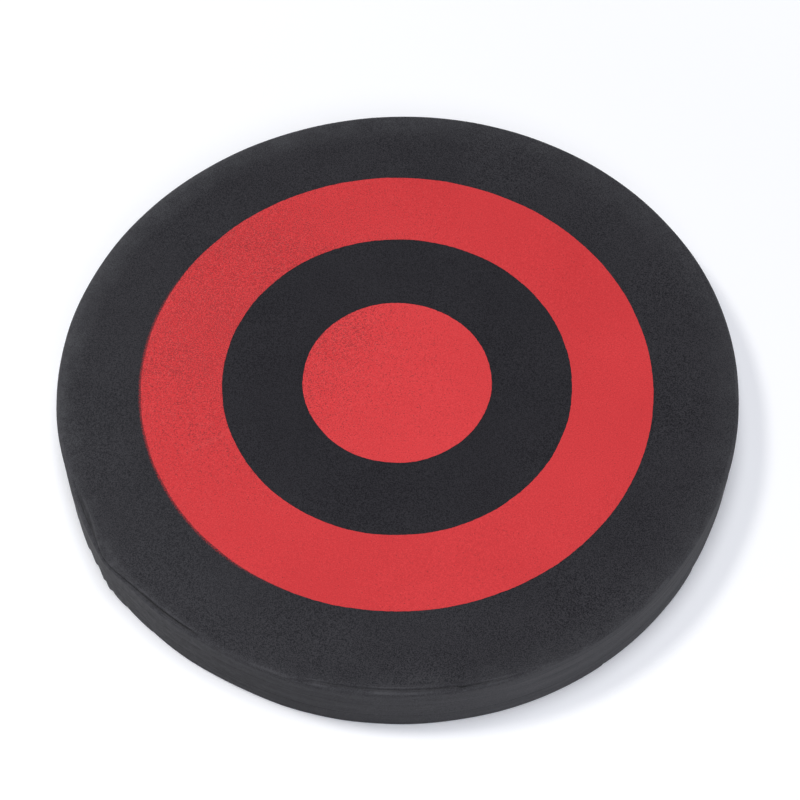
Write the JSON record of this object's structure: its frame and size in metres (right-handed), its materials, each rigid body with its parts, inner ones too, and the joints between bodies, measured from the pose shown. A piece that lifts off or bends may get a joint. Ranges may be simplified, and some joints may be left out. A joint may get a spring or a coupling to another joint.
{
  "type": "foam kick target",
  "caption": "Round hand-held foam kick target with a printed bullseye, a padded elastic hand strap and a hook-and-loop forearm strap in wells on its rear face.",
  "frame": {"origin": "centre of the rear face, on the surface that the disc lies on", "axes": "+Z out through the striking face, +Y from the forearm strap to the hand strap, +X to the right seen from the striking face"},
  "size_m": [0.38, 0.38, 0.0382],
  "materials": {
    "foam": "fine-celled closed-cell foam, matt, sueded surface",
    "core": "softer closed-cell foam, cut surface",
    "ink": "matt screen-printed ink film with foam pores showing through",
    "elastic": "ribbed woven elastic",
    "cover": "plain-woven nylon sleeve",
    "webbing": "woven polypropylene webbing",
    "anchor": "coarse woven patch",
    "hook_tape": "hook tape, stiff short hooks",
    "loop_tape": "loop tape, napped pile",
    "thread": "bonded polyester thread"
  },
  "bodies": {
    "pad": {"front_foam": "foam", "core_foam": "core", "back_foam": "foam", "target_ring": "ink", "target_dot": "ink", "hand_band_tails": "elastic", "hand_band_sides": "elastic", "hand_anchor_left": "anchor", "hand_anchor_right": "anchor", "hand_anchor_stitching": "thread", "arm_strap_tail": "webbing", "arm_anchor": "anchor", "arm_anchor_stitching": "thread", "loop_backing": "webbing", "loop_patch": "loop_tape", "loop_patch_stitching": "thread"},
    "hand_grip": {"hand_band_middle": "elastic", "grip_cover": "cover", "grip_foam": "core", "grip_stitching": "thread"},
    "arm_strap": {"arm_strap_flap": "webbing", "hook_patch": "hook_tape", "hook_patch_stitching": "thread"}
  },
  "joints": [
    {"name": "hand_grip_pull", "type": "slide", "parent": "pad", "child": "hand_grip", "axis": [0, 0, -1], "range_m": [0, 0.036], "stiffness_N_per_m": 400, "springref_m": -0.001, "deforming": ["hand_band_sides"]},
    {"name": "arm_strap_peel", "type": "hinge", "parent": "pad", "child": "arm_strap", "pos_m": [0.074, -0.075, 0.0101], "axis": [0, -1, 0], "range_deg": [0, 110]}
  ]
}
